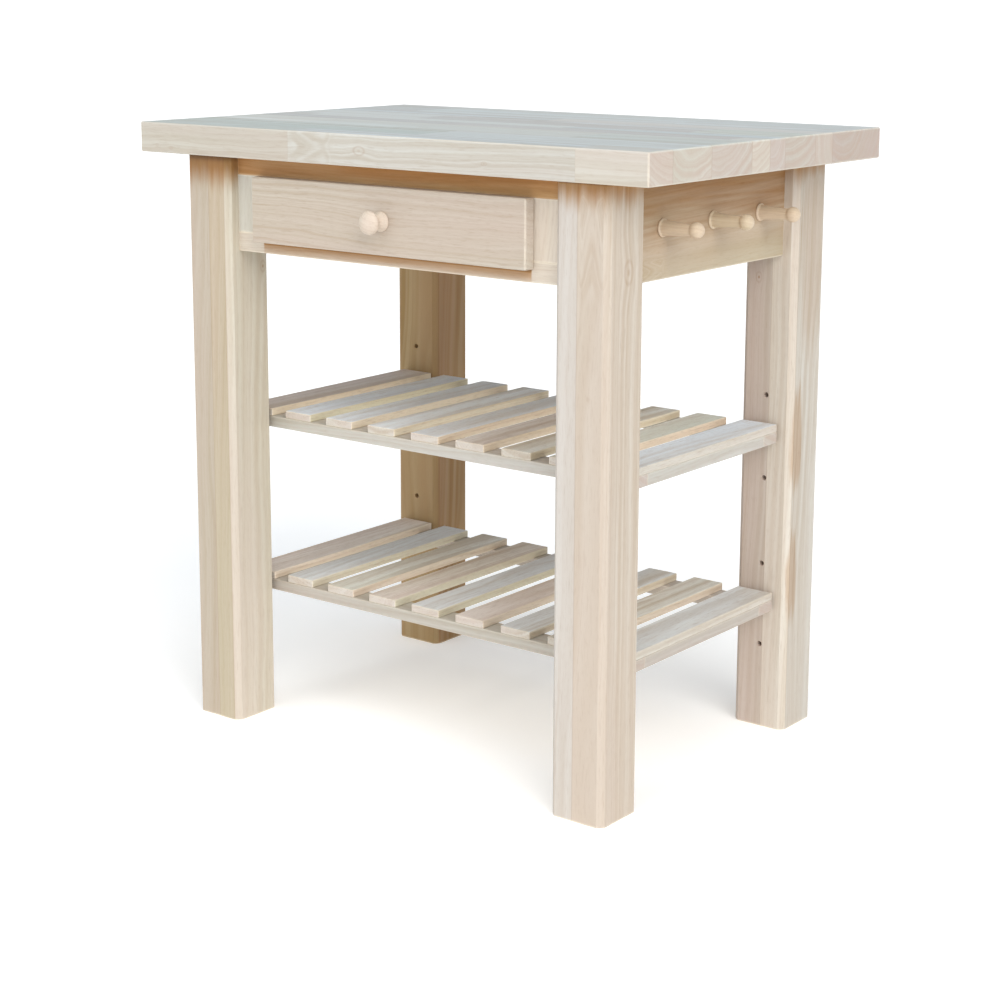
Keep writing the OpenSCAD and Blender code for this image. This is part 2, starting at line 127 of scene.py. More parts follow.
class Graph:
    """A node tree under construction. Each method adds a node and returns its output."""

    def __init__(self, tree):
        self.tree = tree

    def node(self, kind, values=(), **settings):
        made = self.tree.nodes.new("ShaderNode" + kind)
        for name, setting in settings.items():
            setattr(made, name, setting)
        for name, value in dict(values).items():
            if isinstance(value, bpy.types.NodeSocket):
                self.tree.links.new(value, made.inputs[name])
            else:
                made.inputs[name].default_value = value
        return made

    def math(self, operation, a, b=0.0, c=0.0):
        return self.node("Math", {0: a, 1: b, 2: c}, operation=operation).outputs[0]

    def vector(self, operation, a, b=(0, 0, 0)):
        made = self.node("VectorMath", {0: a, 1: b}, operation=operation)
        scalar = operation in ("LENGTH", "DISTANCE", "DOT_PRODUCT")
        return made.outputs["Value" if scalar else "Vector"]

    def scaled(self, vector, factor):
        made = self.node("VectorMath", {"Vector": vector, "Scale": factor}, operation="SCALE")
        return made.outputs["Vector"]

    def split(self, vector):
        return self.node("SeparateXYZ", {0: vector}).outputs

    def join(self, x, y, z):
        return self.node("CombineXYZ", {0: x, 1: y, 2: z}).outputs[0]

    def noise(self, point, scale, detail=2.0, roughness=0.5, output="Fac"):
        stretched = self.vector("MULTIPLY", point, scale)
        values = {"Vector": stretched, "Scale": 1.0, "Detail": detail, "Roughness": roughness}
        return self.node("TexNoise", values).outputs[output]

    def noise_along(self, distance, detail=2.0, roughness=0.5):
        values = {"W": distance, "Scale": 1.0, "Detail": detail, "Roughness": roughness}
        return self.node("TexNoise", values, noise_dimensions="1D").outputs["Fac"]

    def smooth(self, value, low, high, start=0.0, end=1.0):
        values = {"Value": value, "From Min": low, "From Max": high, "To Min": start, "To Max": end}
        return self.node("MapRange", values, interpolation_type="SMOOTHSTEP").outputs[0]

    def between(self, factor, a, b):
        """A number that goes from a to b as the factor goes from 0 to 1."""
        values = {"Value": factor, "To Min": a, "To Max": b}
        return self.node("MapRange", values).outputs[0]

    def mix(self, factor, a, b, blend="MIX"):
        made = self.node("Mix", data_type="RGBA", blend_type=blend)
        for index, value in ((0, factor), (6, a), (7, b)):
            if isinstance(value, bpy.types.NodeSocket):
                self.tree.links.new(value, made.inputs[index])
            else:
                made.inputs[index].default_value = value
        return made.outputs[2]


GROUP_INPUTS = (
    ("Point", "Vector"),
    ("Seed", "Vector"),
    ("Heart", "Vector"),
    ("Lean", "Vector"),
    ("Spread", "Float"),
    ("Waver", "Float"),
    ("Ring", "Float"),
    ("Bulge", "Float"),
    ("Arch", "Float"),
    ("Arch share", "Float"),
    ("Knot", "Float"),
    ("Glue", "Float"),
    ("Edge", "Float"),
    ("End", "Float"),
    ("Figure", "Float"),
    ("Ripple", "Float"),
    ("Streaks", "Float"),
    ("Pores", "Float"),
    ("Cast", "Float"),
    ("Painted shade and stains", "Float"),
    ("Light", "Color"),
    ("Dark", "Color"),
    ("Tint", "Color"),
)
GROUP_OUTPUTS = (("Colour", "Color"), ("Roughness", "Float"), ("Height", "Float"))


def timber_group():
    """Solid timber. Point is in metres from the middle of the board, with z along its grain.

    Growth rings lie round a leaning heart line, so a face shows arches, stripes or arcs
    as a sawn board does. Streaks, pores and broad drifts of tone lie along the grain."""
    tree = bpy.data.node_groups.new("timber", "ShaderNodeTree")
    for name, kind in GROUP_INPUTS:
        tree.interface.new_socket(name, in_out="INPUT", socket_type="NodeSocket" + kind)
    for name, kind in GROUP_OUTPUTS:
        tree.interface.new_socket(name, in_out="OUTPUT", socket_type="NodeSocket" + kind)
    given = tree.nodes.new("NodeGroupInput").outputs
    g = Graph(tree)

    point = given["Point"]
    scatter = g.vector("ADD", point, g.scaled(given["Seed"], 17.0))
    about = g.vector("SUBTRACT", given["Seed"], (0.5, 0.5, 0.5))
    heart = g.vector("ADD", given["Heart"], g.scaled(about, given["Spread"]))
    along = g.split(point)[2]
    from_heart = g.vector("SUBTRACT", point, heart)
    from_heart = g.vector("SUBTRACT", from_heart, g.scaled(given["Lean"], along))
    drift = g.noise(scatter, BROAD_WAVES, 2, output="Color")
    drift = g.scaled(g.vector("SUBTRACT", drift, (0.5, 0.5, 0.5)), given["Waver"])
    flat = g.vector("MULTIPLY", g.vector("ADD", from_heart, drift), (1, 1, 0))
    ripple = g.math("SUBTRACT", g.noise(scatter, RIPPLES, 2), 0.5)
    ripple = g.math("MULTIPLY", ripple, given["Ripple"])
    radius = g.math("ADD", g.math("ADD", g.vector("LENGTH", flat), ripple), given["Bulge"])

    turns = g.math("DIVIDE", radius, given["Ring"])
    straight = g.smooth(g.noise_along(turns, 2.5, 0.6), 0.3, 0.7)
    arch_turns = g.math("DIVIDE", g.math("ADD", given["Arch"], ripple), given["Ring"])
    arched = g.smooth(g.noise_along(arch_turns, 1.5, 0.5), 0.32, 0.68)
    bands = g.between(given["Arch share"], straight, arched)
    crossing = g.noise_along(g.math("ADD", turns, 31.7), 1)
    crossing = g.math("ABSOLUTE", g.math("SUBTRACT", crossing, 0.5))
    lines = g.smooth(crossing, 0.0, 0.05, 1.0, 0.0)
    patchy = g.smooth(g.noise(scatter, LINE_PATCHES, 1), 0.42, 0.62)
    patchy = g.math("MULTIPLY", patchy, g.math("SUBTRACT", 1.0, given["Arch share"]))
    lines = g.math("MULTIPLY", lines, patchy)
    streaks = g.noise(scatter, LONG_STREAKS, 3, 0.6)
    tone_drift = g.smooth(g.noise(scatter, TONE_DRIFTS, 2), 0.35, 0.65)
    fine = g.smooth(g.noise(scatter, FINE_PORES, 1), 0.56, 0.7)
    coarse = g.smooth(g.noise(scatter, COARSE_PORES, 2), 0.54, 0.72)
    pores = g.math("ADD", g.math("MULTIPLY", fine, 0.5), g.math("MULTIPLY", coarse, 0.5))

    # tone: bands and streaks move between the light and the dark wood
    figure = given["Figure"]
    swing = g.math("MULTIPLY", g.math("SUBTRACT", bands, 0.5), figure)
    streak_swing = g.math("MULTIPLY", g.math("SUBTRACT", streaks, 0.5), given["Streaks"])
    level = g.math("ADD", g.math("ADD", MIDDLE_TONE, swing), streak_swing)
    level = g.math("MINIMUM", g.math("MAXIMUM", level, 0.0), 1.0)
    colour = g.mix(level, given["Light"], given["Dark"])
    colour = g.mix(g.math("MULTIPLY", tone_drift, 0.6), colour, given["Tint"])
    line_share = g.math("MULTIPLY", lines, g.math("MULTIPLY", figure, 0.2))
    colour = g.mix(line_share, colour, RING_LINE)
    pore_share = g.math("MULTIPLY", pores, given["Pores"])
    colour = g.mix(pore_share, colour, PORE)

    # each glued length of wood has a cast of its own: pink, green or a little paler
    seed_parts = g.split(given["Seed"])
    pink = g.math("MULTIPLY", given["Cast"], g.smooth(seed_parts[0], 0.35, 0.95))
    colour = g.mix(pink, colour, PINK_CAST, "MULTIPLY")
    green = g.math("MULTIPLY", given["Cast"], g.smooth(seed_parts[1], 0.45, 1.0))
    colour = g.mix(green, colour, GREEN_CAST, "MULTIPLY")
    paler = g.math("MULTIPLY", given["Cast"], g.smooth(seed_parts[2], 0.3, 1.0, 0.0, 0.35))
    colour = g.mix(paler, colour, PALE_CAST)

    # end grain, knots, glue, worn edges, then stains and painted shade, which turns into a painted
    # contact shadow above 1
    end_share = g.math("MULTIPLY", given["End"], g.math("ADD", 0.25, g.math("MULTIPLY", bands, 0.3)))
    colour = g.mix(end_share, colour, END_GRAIN)
    colour = g.mix(g.math("MULTIPLY", given["Knot"], 0.5), colour, KNOT_WOOD)
    colour = g.mix(g.math("MULTIPLY", given["Glue"], 0.4), colour, GLUE_WOOD)
    rubbed = g.math("MULTIPLY", given["Edge"], g.smooth(streaks, 0.3, 0.6, 0.25, 0.6))
    colour = g.mix(rubbed, colour, RUBBED_WOOD)
    colour = g.mix(given["Painted shade and stains"], colour, STAIN_AND_PAINTED_SHADE, "MULTIPLY")
    contact_shadow_share = g.math("MAXIMUM", g.math("SUBTRACT", given["Painted shade and stains"], 1.0), 0.0)
    colour = g.mix(contact_shadow_share, colour, PAINTED_CONTACT_SHADOW, "MULTIPLY")

    rough = g.math("ADD", 0.56, g.math("MULTIPLY", streaks, 0.16))
    rough = g.math("ADD", rough, g.math("MULTIPLY", pores, 0.12))
    height = g.math("SUBTRACT", g.math("MULTIPLY", bands, 0.25), pores)
    height = g.math("SUBTRACT", height, g.math("MULTIPLY", given["Glue"], 0.8))

    gathered = tree.nodes.new("NodeGroupOutput")
    for name, value in (("Colour", colour), ("Roughness", rough), ("Height", height)):
        tree.links.new(value, gathered.inputs[name])
    return tree


TIMBER = timber_group()

# grain order: which two axes lie across the grain and which one lies along it
GRAIN = {"X": (1, 2, 0), "Y": (0, 2, 1), "Z": (0, 1, 2)}


def glued(g, parts, place_parts, low, high, cuts, joints):
    """The board as boards glued together: a random seed for each, the place from the middle
    of each, the lines of glue, and for each cut across X and Y what lies past it."""
    middle = (low + high) / 2
    seed = random.random() * 40
    count = [0.0, 0.0, 0.0]
    own = list(parts)
    glue = 0.0
    past_cuts = []
    for axis, edges in enumerate(cuts):
        bounds = (low[axis], *edges, high[axis])
        for index, edge in enumerate(edges):
            past = g.math("GREATER_THAN", place_parts[axis], edge)
            count[axis] = g.math("ADD", count[axis], past)
            to_next = (bounds[index + 2] - bounds[index]) / 2
            own[axis] = g.math("SUBTRACT", own[axis], g.math("MULTIPLY", past, to_next))
            near = g.math("ABSOLUTE", g.math("SUBTRACT", place_parts[axis], edge))
            glue = g.math("MAXIMUM", glue, g.smooth(near, *GLUE_LINE, GLUE_SHARE, 0.0))
            if axis < 2:
                past_cuts.append(past)
        if edges:
            to_first = (bounds[0] + bounds[1]) / 2 - middle[axis]
            own[axis] = g.math("SUBTRACT", own[axis], to_first)
    if joints:
        stave, first, step = joints
        slide = g.math("ADD", first, g.math("MULTIPLY", count[1], step))
        piece = g.math("DIVIDE", g.math("SUBTRACT", place_parts[0], slide), stave)
        count[0] = g.math("ADD", count[0], g.math("FLOOR", piece))
        near = g.math("PINGPONG", g.math("MULTIPLY", piece, stave), stave / 2)
        glue = g.math("MAXIMUM", glue, g.smooth(near, *END_JOINT, END_JOINT_SHARE, 0.0))
    cell = g.vector("ADD", g.join(*count), (seed * 1.37, seed * 2.11, 0.5))
    seeds = g.node("TexWhiteNoise", {"Vector": cell}, noise_dimensions="3D").outputs["Color"]
    return seeds, own, glue, past_cuts


def knotty(g, place, place_parts, length, knots):
    """How far knots push the rings aside, and the dark wood of the knots themselves."""
    bulge, knot = 0.0, 0.0
    for at, radius, axis, core in knots:
        stretch = [1.0, 1.0, 1.0]
        stretch[length] = KNOT_ALONG
        stretch[axis] = 0.0
        gap = g.vector("MULTIPLY", g.vector("SUBTRACT", place, at), tuple(stretch))
        gap = g.math("DIVIDE", g.vector("LENGTH", gap), radius)
        run = g.math("ABSOLUTE", g.math("SUBTRACT", place_parts[axis], at[axis]))
        present = g.smooth(run, *KNOT_RUN, 1.0, 0.0)
        pushed = g.smooth(gap, 0.0, KNOT_SPREAD, radius * KNOT_PUSH, 0.0)
        bulge = g.math("ADD", bulge, g.math("MULTIPLY", present, pushed))
        from_ring = g.math("ABSOLUTE", g.math("SUBTRACT", gap, KNOT_RING))
        mark = g.smooth(from_ring, 0.0, KNOT_RING_WIDTH, KNOT_RING_SHARE, 0.0)
        mark = g.math("MAXIMUM", mark, g.smooth(gap, *KNOT_CORE, core, 0.0))
        knot = g.math("MAXIMUM", knot, g.math("MULTIPLY", mark, present))
    return bulge, knot


def arched(g, place_parts, length, arches, ring):
    """The nested points that growth rings make where they leave the face, and their share."""
    arch, arch_share = 0.0, 0.0
    for at, reach, width, axis, rings in arches:
        up = g.math("DIVIDE", g.math("SUBTRACT", place_parts[length], at[length]), reach)
        aside = g.math("DIVIDE", g.math("SUBTRACT", place_parts[axis], at[axis]), width)
        flank = g.math("SQRT", g.math("ADD", g.math("MULTIPLY", aside, aside), ARCH_TIP))
        field = g.math("ADD", up, g.math("MULTIPLY", flank, ARCH_FLANK))
        field = g.math("MULTIPLY", field, ring * rings)
        into = 3 - length - axis
        run = g.math("ABSOLUTE", g.math("SUBTRACT", place_parts[into], at[into]))
        share = g.math("MULTIPLY", g.smooth(g.math("ABSOLUTE", up), *ARCH_END, 1.0, 0.0),
                       g.smooth(g.math("ABSOLUTE", aside), *ARCH_SIDE, 1.0, 0.0))
        share = g.math("MULTIPLY", share, g.smooth(run, *ARCH_RUN, 1.0, 0.0))
        arch = g.between(share, arch, field)
        arch_share = g.math("MAXIMUM", arch_share, share)
    return arch, arch_share


def worn(g, parts, half, rub):
    """How rubbed the wood is near the edges of the box, where it is close to two faces."""
    near_faces = []
    for axis in range(3):
        to_face = g.math("SUBTRACT", half[axis], g.math("ABSOLUTE", parts[axis]))
        near_faces.append(g.smooth(to_face, 0.0, WORN_WIDTH, 1.0, 0.0))
    edge = 0.0
    for a, b in ((0, 1), (1, 2), (0, 2)):
        edge = g.math("MAXIMUM", edge, g.math("MULTIPLY", near_faces[a], near_faces[b]))
    return g.math("MULTIPLY", edge, rub)


def painted_shade_and_stains(g, place, place_parts, length, shade, stains):
    """How dark the wood is painted: painted shade under the top or the drawer face, turning into a
    painted contact shadow at its darkest band, and stains.
    """
    darker = 0.0
    if shade:
        start, stop, share, reach, contact_band = shade
        stretch = [SHADE_ACROSS] * 3
        stretch[length] = SHADE_ALONG
        uneven = g.math("SUBTRACT", g.noise(place, tuple(stretch), 2), 0.5)
        uneven = g.math("MULTIPLY", uneven, (stop - start) * SHADE_RAGGED)
        rise = g.smooth(g.math("ADD", place_parts[2], uneven), start, stop)
        contact_shadow = g.smooth(place_parts[2], *contact_band, 0.0, PAINTED_CONTACT_SHADOW_SHARE)
        within = g.smooth(g.math("ABSOLUTE", place_parts[0]), reach - SHADE_END, reach, share, 0.0)
        darker = g.math("MULTIPLY", g.math("ADD", rise, contact_shadow), within)
    for at, reach, share in stains:
        away = g.vector("MULTIPLY", g.vector("SUBTRACT", place, at), tuple(1 / r for r in reach))
        uneven = g.math("SUBTRACT", g.noise(place, STAIN_GRAIN, 2), 0.5)
        away = g.math("ADD", g.vector("LENGTH", away), g.math("MULTIPLY", uneven, STAIN_RAGGED))
        darker = g.math("MAXIMUM", darker, g.smooth(away, *STAIN_EDGE, share, 0.0))
    return darker


def wood(name, low, high, grain, base, heart=(0.03, 0.09), lean=(0.02, 0.01), spread=0.05,
         waver=0.05, ring=0.011, ripple=0.006, figure=0.7, streaks=0.8, pores=0.22,
         cuts=((), (), ()), cast=0.0, beyond=(), joints=None, knots=(), arches=(), stains=(),
         shade=None, crown=None, ends=None, end_grain=1.0, rub=1.0, plies=0.0, brace=False):
    """A material for the board that fills the box from low to high, in metres.

    base is a tone: (light, dark, tint). heart is where the heart of the log lies, across the
    grain from the middle of the board, and lean is its slope. cuts holds, for each axis, the
    places where boards are glued side by side, and beyond the tones past each cut across X
    and then across Y. joints is (length, first place, step) of the lengths joined end to end
    along X. knots are (place, radius, axis they run along, core). arches are (place, reach,
    half width, axis across, rings), and point up the grain if reach is positive. stains are
    (place, reach, share) of darker, warmer wood. shade is (start height, end height, share,
    reach along X, contact band) of painted shade under the top or the drawer face, in the same
    darker colour, and the contact band holds the heights between which it turns into a painted
    contact shadow. crown is the tone of an upward face, painted cooler as a
    sheen, ends the tone of the end grain, rub the paleness of the worn edges and plies the
    thickness of plywood layers.
    brace marks four diagonal boards that mirror each other."""
    material = bpy.data.materials.new(name)
    material.use_nodes = True
    tree = material.node_tree
    tree.nodes.clear()
    g = Graph(tree)
    low, high = Vector(low), Vector(high)
    middle, half = (low + high) / 2, (high - low) / 2

    place = g.node("TexCoord").outputs["Object"]
    local = g.vector("SUBTRACT", place, tuple(middle))
    if brace:
        local = g.vector("ABSOLUTE", place)
    parts = g.split(local)
    place_parts = g.split(place)
    across, deep, length = GRAIN[grain]
    seeds, own, glue, past_cuts = glued(g, parts, place_parts, low, high, cuts, joints)
    bulge, knot = knotty(g, place, place_parts, length, knots)
    arch, arch_share = arched(g, place_parts, length, arches, ring)

    normal = g.split(g.node("NewGeometry").outputs["Normal"])
    if brace:
        onward = g.math("MULTIPLY", g.math("SUBTRACT", parts[0], parts[1]), math.sqrt(0.5))
        outward = g.math("MULTIPLY", g.math("ADD", parts[0], parts[1]), math.sqrt(0.5))
        point = g.join(outward, parts[2], onward)
        edge, end = 0.0, 0.0
    else:
        point = g.join(own[across], own[deep], own[length])
        edge = worn(g, parts, half, rub)
        end = g.smooth(g.math("ABSOLUTE", normal[length]), *END_FACING, 0.0, end_grain)

    tones = base
    for past, other in zip(past_cuts, beyond):
        tones = [g.mix(past, a, b) for a, b in zip(tones, other)]
    # painted sheen: upward faces take a cooler tone, together with each slat's own top tone
    if crown:
        upward = g.smooth(normal[2], *UP_FACING)
        tones = [g.mix(upward, a, b) for a, b in zip(tones, crown)]
    if ends:
        endward = g.smooth(g.math("ABSOLUTE", normal[length]), *END_FACING)
        tones = [g.mix(endward, a, b) for a, b in zip(tones, ends)]
    light, dark, tint = tones
    if plies:
        layer = g.math("PINGPONG", g.math("SUBTRACT", place_parts[2], low.z), plies)
        side = g.smooth(g.math("ABSOLUTE", normal[2]), *SIDE_FACING, 1.0, 0.0)
        glue = g.math("MULTIPLY", side, g.smooth(layer, plies * 0.3, plies * 0.7))

    timber = g.node("Group", node_tree=TIMBER)
    values = {
        "Point": point, "Seed": seeds, "Heart": (*heart, 0.0), "Lean": (*lean, 0.0),
        "Spread": spread, "Waver": waver, "Ring": ring, "Bulge": bulge, "Arch": arch,
        "Arch share": arch_share, "Knot": knot, "Glue": glue, "Edge": edge, "End": end,
        "Figure": figure, "Ripple": ripple, "Streaks": streaks, "Pores": pores, "Cast": cast,
        "Painted shade and stains": painted_shade_and_stains(g, place, place_parts, length, shade, stains),
        "Light": light, "Dark": dark, "Tint": tint,
    }
    for key, value in values.items():
        if isinstance(value, bpy.types.NodeSocket):
            tree.links.new(value, timber.inputs[key])
        else:
            timber.inputs[key].default_value = value

    bump = g.node("Bump", {"Height": timber.outputs["Height"], "Strength": 0.5, "Distance": 0.0002})
    shader = g.node("BsdfPrincipled", {
        "Base Color": timber.outputs["Colour"],
        "Roughness": timber.outputs["Roughness"],
        "Normal": bump.outputs["Normal"],
        "Specular IOR Level": 0.4,
    })
    g.node("OutputMaterial", {"Surface": shader.outputs["BSDF"]})
    return material


def steel(name):
    """Zinc-plated steel: pale grey metal, faintly mottled, with fine scratches."""
    material = bpy.data.materials.new(name)
    material.use_nodes = True
    material.node_tree.nodes.clear()
    g = Graph(material.node_tree)
    place = g.node("TexCoord").outputs["Object"]
    mottle = g.noise(place, (260, 260, 260), 3, 0.6)
    scratches = g.noise(place, (2600, 400, 400), 2)
    colour = g.mix(mottle, srgb(158, 162, 170), srgb(204, 206, 208))
    rough = g.math("ADD", 0.24, g.math("MULTIPLY", mottle, 0.22))
    bump = g.node("Bump", {"Height": scratches, "Strength": 0.3, "Distance": 0.00005})
    shader = g.node("BsdfPrincipled", {
        "Base Color": colour, "Roughness": rough, "Metallic": 1.0, "Normal": bump.outputs["Normal"],
    })
    g.node("OutputMaterial", {"Surface": shader.outputs["BSDF"]})
    return material


# ---- tones ----


LIGHTER, DARKER = (7, 8, 9), (-12, -18, -24)


def tone(red, green, blue, drift, contrast=1.0):
    """Light wood, dark wood and a drifting tint round one display colour."""
    middle = (red, green, blue)
    light = srgb(*(c + step * contrast for c, step in zip(middle, LIGHTER)))
    dark = srgb(*(c + step * contrast for c, step in zip(middle, DARKER)))
    tint = srgb(*(c + step for c, step in zip(middle, drift)))
    return light, dark, tint


PINK_DRIFT = (4, -4, -1)
GREEN_DRIFT = (-5, 2, -4)
GREY_DRIFT = (-4, 0, 8)
FRONT_LEFT = tone(184, 173, 155, PINK_DRIFT)
FRONT_LEFT_STRIP = tone(189, 173, 152, GREEN_DRIFT)
FRONT_LEFT_CORNER = tone(200, 193, 177, PINK_DRIFT)
FRONT_RIGHT = tone(200, 193, 184, (1, -1, -1), 1.4)
FRONT_RIGHT_STRIP = tone(198, 186, 171, (2, -2, -2), 1.2)
BACK_RIGHT = tone(192, 181, 168, PINK_DRIFT)
BACK_RIGHT_STRIP = tone(210, 201, 187, (2, -2, 0))
BACK_RIGHT_SIDE = tone(194, 187, 176, (2, -1, -3), 1.1)
# painted shade: the back left leg is given darker, browner tones for the shade it stands in
BACK_LEFT_PAINTED_SHADE_TONE = tone(168, 143, 101, PINK_DRIFT)
BACK_LEFT_SIDE_PAINTED_SHADE_TONE = tone(155, 125, 86, PINK_DRIFT)
SLAB = tone(196, 192, 183, PINK_DRIFT)
SLAB_STAVES = (
    tone(194, 191, 181, GREEN_DRIFT), tone(190, 186, 179, PINK_DRIFT),
    tone(192, 189, 178, GREEN_DRIFT), tone(190, 187, 178, PINK_DRIFT),
    tone(181, 177, 171, PINK_DRIFT), tone(178, 174, 167, GREEN_DRIFT),
    tone(172, 165, 156, PINK_DRIFT),
)
# painted sheen: the upward face of the top is given a cooler, lighter tone than its sides
SLAB_TOP_PAINTED_SHEEN = tone(198, 202, 201, (-3, 1, 2), 1.7)
DRAWER = tone(191, 180, 164, PINK_DRIFT)
DRAWER_END = tone(204, 197, 183, PINK_DRIFT)
STILE_PALE = tone(206, 199, 182, GREY_DRIFT)
STILE_PINK = tone(214, 206, 189, PINK_DRIFT)
# painted shade: the top rail is given a darker, warmer tone for the shade under the top
TOP_RAIL_PAINTED_SHADE_TONE = tone(208, 180, 139, GREEN_DRIFT)
RAIL_PALE = tone(210, 200, 183, (2, -2, 1))
APRON = tone(188, 170, 147, GREEN_DRIFT)
SLAT_SIDES = {
    "upper": (tone(226, 216, 192, PINK_DRIFT), tone(222, 211, 187, GREEN_DRIFT),
              tone(228, 213, 188, PINK_DRIFT)),
    "lower": (tone(214, 203, 182, PINK_DRIFT), tone(211, 200, 180, GREEN_DRIFT),
              tone(216, 202, 182, PINK_DRIFT)),
}
# tops of bluish, warm and greenish slats, each painted cooler than its sides as a sheen, and which of
# them lie where from left to right
SLAT_TOPS_AND_PAINTED_SHEEN = {
    "upper": (tone(231, 236, 239, GREY_DRIFT, 1.8), tone(215, 209, 202, PINK_DRIFT, 1.8),
              tone(222, 220, 211, GREEN_DRIFT, 1.8)),
    "lower": (tone(218, 218, 214, GREY_DRIFT, 1.9), tone(217, 209, 197, PINK_DRIFT, 1.9),
              tone(214, 210, 200, GREEN_DRIFT, 1.9)),
}
SLAT_ORDER = {"upper": (1, 0, 0, 0, 0, 1, 2, 2, 0), "lower": (1, 0, 2, 1, 0, 1, 0, 2, 0)}
SLAT_ENDS = tone(202, 196, 184, PINK_DRIFT)
SHELF_RAILS = {
    "upper": tone(192, 190, 181, PINK_DRIFT),
    "lower": tone(184, 179, 168, PINK_DRIFT),
}
INNER = tone(212, 196, 168, GREEN_DRIFT)
PLYWOOD = tone(208, 188, 152, PINK_DRIFT)
TURNED = tone(212, 201, 183, PINK_DRIFT)
PEG = tone(214, 197, 170, PINK_DRIFT)


def put(node, material):
    piece = nodes[node]
    piece.data.materials.clear()
    piece.data.materials.append(material)
    return piece


def soften(node, width):
    """Rounds the sharp edges of a CAD node a little, as sandpaper does."""
    piece = nodes[node]
    weld = piece.modifiers.new("weld", "WELD")
    weld.merge_threshold = 0.00001
    bevel = piece.modifiers.new("soft_edges", "BEVEL")
    bevel.width = width
    bevel.segments = 2
    bevel.limit_method = "ANGLE"
    bevel.angle_limit = math.radians(28)


def board(node, grain, base, soft=0.6 * MM, **looks):
    """A CAD node as a board of its own wood, with soft edges."""
    low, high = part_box(node)
    put(node, wood(node + "_wood", low, high, grain, base, **looks))
    soften(node, soft)


# faces that show knots and arches
SLAB_FRONT = -0.3048
LEG_FRONT = -0.2838
BACK_LEG_FRONT = 0.1968
# where the stains are darkest, just inside the right face of the back leg
STAIN_PLANE = 0.3826

# top slab: glued from staves that are joined end to end
STAVE_EDGES = (-0.250, -0.158, -0.0575, -0.0105, 0.030, 0.113, 0.162)
board("top_slab", "X", SLAB, 0.8 * MM, heart=(0.0, 0.05), spread=0.15, ring=0.0085, ripple=0.012,
      figure=0.75, streaks=0.7, cast=0.85, cuts=((), STAVE_EDGES, ()), beyond=SLAB_STAVES,
      joints=(0.5, -0.155, 0.191), crown=SLAB_TOP_PAINTED_SHEEN, end_grain=1.0,
      knots=(((-0.021, SLAB_FRONT, 0.892), 0.007, 1, 0.4),
             ((0.198, SLAB_FRONT, 0.886), 0.003, 1, 0.9),
             ((-0.392, SLAB_FRONT, 0.878), 0.0025, 1, 1.0),
             ((-0.422, SLAB_FRONT, 0.881), 0.002, 1, 0.8)),
      arches=(((-0.112, SLAB_FRONT, 0.893), 0.05, 0.028, 2, 1.3),))

# painted shade under the top and under the drawer face: heights between which it grows, share, reach
# along X, heights of the painted contact shadow
FULL_WIDTH = 0.5
CONTACT_SHADOW_HEIGHTS = (0.8645, 0.8695)
PAINTED_SHADE_UNDER_TOP = (0.826, 0.869, 1.0, FULL_WIDTH, CONTACT_SHADOW_HEIGHTS)
APRON_SHADE = (0.758, 0.866, 1.0, FULL_WIDTH, CONTACT_SHADOW_HEIGHTS)
FRONT_LEFT_SHADE = (0.812, 0.857, 1.0, FULL_WIDTH, (0.857, 0.8685))
TOP_RAIL_SHADE = (0.80, 0.872, 0.95, FULL_WIDTH, CONTACT_SHADOW_HEIGHTS)
PAINTED_SHADE_UNDER_DRAWER = (0.723, 0.740, 0.8, 0.247, (0.740, 0.744))

LEG_HEART = (0.06, 0.05)
board("leg_front_left", "Z", FRONT_LEFT, 1.0 * MM, heart=LEG_HEART, figure=0.6, streaks=0.7,
      cuts=((-0.337, -0.3055), (), ()), beyond=(FRONT_LEFT_STRIP, FRONT_LEFT_CORNER),
      shade=FRONT_LEFT_SHADE, knots=(((-0.297, -0.213, 0.700), 0.006, 0, 1.4),))
board("leg_front_right", "Z", FRONT_RIGHT, 1.0 * MM, heart=LEG_HEART, figure=0.65, streaks=0.6,
      cuts=((0.335,), (), ()), beyond=(FRONT_RIGHT_STRIP,), shade=PAINTED_SHADE_UNDER_TOP,
      knots=(((0.384, -0.237, 0.751), 0.011, 0, 0.6),
             ((0.3545, LEG_FRONT, 0.5865), 0.002, 1, 1.0)),
      arches=(((0.358, LEG_FRONT, 0.790), 0.09, 0.024, 0, 3.0),))
board("leg_back_right", "Z", BACK_RIGHT, 1.0 * MM, heart=LEG_HEART, figure=0.8, streaks=0.9,
      cuts=((0.345,), (0.206,), ()), beyond=(BACK_RIGHT_STRIP, BACK_RIGHT_SIDE), shade=PAINTED_SHADE_UNDER_TOP,
      knots=(((0.3228, BACK_LEG_FRONT, 0.6933), 0.0055, 1, 1.6),),
      stains=(((STAIN_PLANE, 0.245, 0.735), (0.03, 0.040, 0.170), 0.24),
              ((STAIN_PLANE, 0.216, 0.448), (0.02, 0.015, 0.090), 0.50),
              ((STAIN_PLANE, 0.213, 0.238), (0.02, 0.014, 0.080), 0.44)))
# painted shade: this leg's tones are darkened for the shade it stands in
board("leg_back_left", "Z", BACK_LEFT_PAINTED_SHADE_TONE, 1.0 * MM, heart=LEG_HEART, figure=0.9, streaks=1.1,
      cuts=((-0.2985,), (), ()), beyond=(BACK_LEFT_SIDE_PAINTED_SHADE_TONE,), shade=PAINTED_SHADE_UNDER_TOP)

